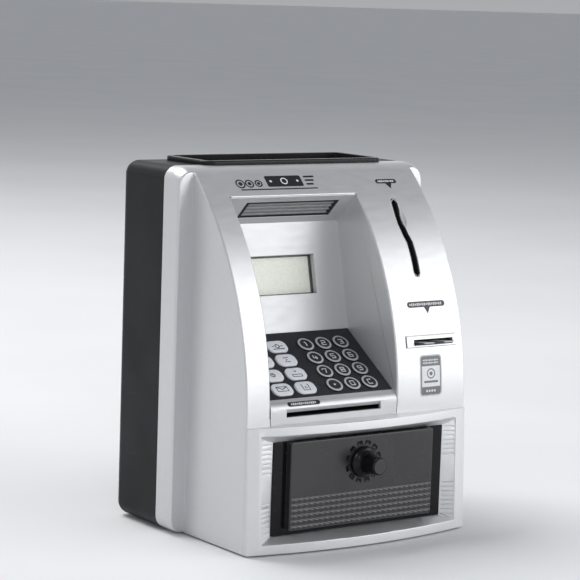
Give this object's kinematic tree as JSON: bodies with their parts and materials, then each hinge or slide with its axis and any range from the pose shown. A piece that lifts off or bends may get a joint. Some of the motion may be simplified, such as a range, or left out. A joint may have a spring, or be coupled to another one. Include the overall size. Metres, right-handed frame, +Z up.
{
  "type": "toy cash machine savings bank",
  "caption": "Toy cash machine money box with keypad, display, coin slot, card slot, note slot and a vault door with a dial knob",
  "frame": {"origin": "centre of the footprint's bounding box, on the surface that the feet stand on", "axes": "+X to the object's right as seen from the front, +Y to the back, +Z up; the front with the keypad and door faces -Y"},
  "size_m": [0.195, 0.1616, 0.2392],
  "materials": {
    "silver_paint": "silver sprayed, satin gloss",
    "alcove_silver": "silver sprayed, satin gloss",
    "black_shell": "matte black moulding",
    "tray_black": "glossy black moulding",
    "keypad_black": "glossy black",
    "key_black": "black with printed ring and digit",
    "key_grey": "light grey with printed sign",
    "door_dark": "smoked dark grey, glossy",
    "knob_black": "glossy black",
    "inner_black": "moulded black",
    "white_nylon": "natural nylon",
    "clear_window": "clear acrylic",
    "lamp_clear": "ribbed clear plastic",
    "lcd_panel": "pale green display in a black carrier",
    "board_green": "coated circuit board",
    "grey_rubber": "soft grey rubber",
    "foot_rubber": "black foam rubber",
    "zinc_steel": "zinc plated",
    "motor_can": "plain metal can",
    "cell_jacket": "wrapped dry cells",
    "speaker_black": "paper cone in a frame",
    "card_print": "printed card"
  },
  "bodies": {
    "case": {"front_shell": "silver_paint", "vault_frame": "silver_paint", "alcove_insert": "alcove_silver", "card_bezel": "silver_paint", "rear_shell": "black_shell", "top_tray": "tray_black", "keypad_plate": "keypad_black", "coin_slot_liner": "inner_black", "vault_box": "inner_black", "coin_chute": "inner_black", "card_guide": "inner_black", "bill_guide": "inner_black", "battery_box": "inner_black", "card_switch": "inner_black", "lcd_window": "clear_window", "lamp_lens": "lamp_clear", "lcd_module": "lcd_panel", "control_board": "board_green", "keypad_board": "board_green", "lamp_board": "board_green", "key_membrane": "grey_rubber", "rubber_feet": "foot_rubber", "case_screws": "zinc_steel", "battery_contacts": "zinc_steel", "feed_motor": "motor_can", "batteries": "cell_jacket", "speaker": "speaker_black"},
    "door": {"vault_door": "door_dark", "door_hinge_pins": "zinc_steel"},
    "knob": {"dial_knob": "knob_black", "latch_crank": "white_nylon"},
    "bolt": {"latch_bolt": "white_nylon"},
    "flag": {"coin_flag": "white_nylon"},
    "card": {"security_card": "card_print"},
    "cover": {"battery_cover": "black_shell", "cover_screw": "zinc_steel"},
    "feed": {"feed_roller": "grey_rubber", "feed_gear": "white_nylon"},
    "pinch": {"pinch_roller": "grey_rubber"},
    "pinion": {"motor_pinion": "white_nylon"},
    "key_1": {"key_1": "key_black"},
    "key_2": {"key_2": "key_black"},
    "key_3": {"key_3": "key_black"},
    "key_4": {"key_4": "key_black"},
    "key_5": {"key_5": "key_black"},
    "key_6": {"key_6": "key_black"},
    "key_7": {"key_7": "key_black"},
    "key_8": {"key_8": "key_black"},
    "key_9": {"key_9": "key_black"},
    "key_dot": {"key_dot": "key_black"},
    "key_0": {"key_0": "key_black"},
    "key_clear": {"key_clear": "key_black"},
    "function_key_1": {"function_key_1": "key_grey"},
    "function_key_2": {"function_key_2": "key_grey"},
    "function_key_3": {"function_key_3": "key_grey"},
    "function_key_4": {"function_key_4": "key_grey"},
    "function_key_5": {"function_key_5": "key_grey"},
    "function_key_6": {"function_key_6": "key_grey"},
    "function_key_7": {"function_key_7": "key_grey"},
    "function_key_8": {"function_key_8": "key_grey"}
  },
  "joints": [
    {"name": "door_swing", "type": "hinge", "parent": "case", "child": "door", "pos_m": [-0.0655, -0.0564, 0.0407], "axis": [0, 0, -1], "range_deg": [0, 95]},
    {"name": "knob_turn", "type": "hinge", "parent": "door", "child": "knob", "pos_m": [0, -0.0628, 0.0535], "axis": [0, 1, 0], "range_deg": [0, 90]},
    {"name": "bolt_slide", "type": "slide", "parent": "door", "child": "bolt", "axis": [1, 0, 0], "range_m": [0, 0.00566]},
    {"name": "flag_tip", "type": "hinge", "parent": "case", "child": "flag", "pos_m": [0.0512, 0.0098, 0.1292], "axis": [0, 1, 0], "range_deg": [0, 35], "stiffness_Nm_per_rad": 0.001, "springref_deg": -8.59},
    {"name": "card_pull", "type": "slide", "parent": "case", "child": "card", "axis": [0, -1, 0], "range_m": [-0.0015, 0.04]},
    {"name": "cover_lift", "type": "slide", "parent": "case", "child": "cover", "axis": [0, 1, 0], "range_m": [0, 0.015]},
    {"name": "feed_spin", "type": "hinge", "parent": "case", "child": "feed", "pos_m": [0, -0.0292, 0.09135], "axis": [1, 0, 0], "continuous": true},
    {"name": "pinch_spin", "type": "hinge", "parent": "case", "child": "pinch", "pos_m": [0, -0.0292, 0.08165], "axis": [1, 0, 0], "continuous": true},
    {"name": "pinion_spin", "type": "hinge", "parent": "case", "child": "pinion", "pos_m": [0.025, -0.0172, 0.09135], "axis": [1, 0, 0], "continuous": true},
    {"name": "key_1_press", "type": "slide", "parent": "case", "child": "key_1", "axis": [0, -0.5435, 0.8394], "range_m": [-0.0008, 0], "stiffness_N_per_m": 300, "springref_m": 0.0002},
    {"name": "key_2_press", "type": "slide", "parent": "case", "child": "key_2", "axis": [0, -0.5435, 0.8394], "range_m": [-0.0008, 0], "stiffness_N_per_m": 300, "springref_m": 0.0002},
    {"name": "key_3_press", "type": "slide", "parent": "case", "child": "key_3", "axis": [0, -0.5435, 0.8394], "range_m": [-0.0008, 0], "stiffness_N_per_m": 300, "springref_m": 0.0002},
    {"name": "key_4_press", "type": "slide", "parent": "case", "child": "key_4", "axis": [0, -0.5435, 0.8394], "range_m": [-0.0008, 0], "stiffness_N_per_m": 300, "springref_m": 0.0002},
    {"name": "key_5_press", "type": "slide", "parent": "case", "child": "key_5", "axis": [0, -0.5435, 0.8394], "range_m": [-0.0008, 0], "stiffness_N_per_m": 300, "springref_m": 0.0002},
    {"name": "key_6_press", "type": "slide", "parent": "case", "child": "key_6", "axis": [0, -0.5435, 0.8394], "range_m": [-0.0008, 0], "stiffness_N_per_m": 300, "springref_m": 0.0002},
    {"name": "key_7_press", "type": "slide", "parent": "case", "child": "key_7", "axis": [0, -0.5435, 0.8394], "range_m": [-0.0008, 0], "stiffness_N_per_m": 300, "springref_m": 0.0002},
    {"name": "key_8_press", "type": "slide", "parent": "case", "child": "key_8", "axis": [0, -0.5435, 0.8394], "range_m": [-0.0008, 0], "stiffness_N_per_m": 300, "springref_m": 0.0002},
    {"name": "key_9_press", "type": "slide", "parent": "case", "child": "key_9", "axis": [0, -0.5435, 0.8394], "range_m": [-0.0008, 0], "stiffness_N_per_m": 300, "springref_m": 0.0002},
    {"name": "key_dot_press", "type": "slide", "parent": "case", "child": "key_dot", "axis": [0, -0.5435, 0.8394], "range_m": [-0.0008, 0], "stiffness_N_per_m": 300, "springref_m": 0.0002},
    {"name": "key_0_press", "type": "slide", "parent": "case", "child": "key_0", "axis": [0, -0.5435, 0.8394], "range_m": [-0.0008, 0], "stiffness_N_per_m": 300, "springref_m": 0.0002},
    {"name": "key_clear_press", "type": "slide", "parent": "case", "child": "key_clear", "axis": [0, -0.5435, 0.8394], "range_m": [-0.0008, 0], "stiffness_N_per_m": 300, "springref_m": 0.0002},
    {"name": "function_key_1_press", "type": "slide", "parent": "case", "child": "function_key_1", "axis": [0, -0.5435, 0.8394], "range_m": [-0.0008, 0], "stiffness_N_per_m": 300, "springref_m": 0.0002},
    {"name": "function_key_2_press", "type": "slide", "parent": "case", "child": "function_key_2", "axis": [0, -0.5435, 0.8394], "range_m": [-0.0008, 0], "stiffness_N_per_m": 300, "springref_m": 0.0002},
    {"name": "function_key_3_press", "type": "slide", "parent": "case", "child": "function_key_3", "axis": [0, -0.5435, 0.8394], "range_m": [-0.0008, 0], "stiffness_N_per_m": 300, "springref_m": 0.0002},
    {"name": "function_key_4_press", "type": "slide", "parent": "case", "child": "function_key_4", "axis": [0, -0.5435, 0.8394], "range_m": [-0.0008, 0], "stiffness_N_per_m": 300, "springref_m": 0.0002},
    {"name": "function_key_5_press", "type": "slide", "parent": "case", "child": "function_key_5", "axis": [0, -0.5435, 0.8394], "range_m": [-0.0008, 0], "stiffness_N_per_m": 300, "springref_m": 0.0002},
    {"name": "function_key_6_press", "type": "slide", "parent": "case", "child": "function_key_6", "axis": [0, -0.5435, 0.8394], "range_m": [-0.0008, 0], "stiffness_N_per_m": 300, "springref_m": 0.0002},
    {"name": "function_key_7_press", "type": "slide", "parent": "case", "child": "function_key_7", "axis": [0, -0.5435, 0.8394], "range_m": [-0.0008, 0], "stiffness_N_per_m": 300, "springref_m": 0.0002},
    {"name": "function_key_8_press", "type": "slide", "parent": "case", "child": "function_key_8", "axis": [0, -0.5435, 0.8394], "range_m": [-0.0008, 0], "stiffness_N_per_m": 300, "springref_m": 0.0002}
  ],
  "couplings": [
    {"joint": "bolt_slide", "follows": "knob_turn", "m_per_rad": 0.0036},
    {"joint": "pinch_spin", "follows": "feed_spin", "ratio": -1},
    {"joint": "pinion_spin", "follows": "feed_spin", "ratio": -2}
  ]
}
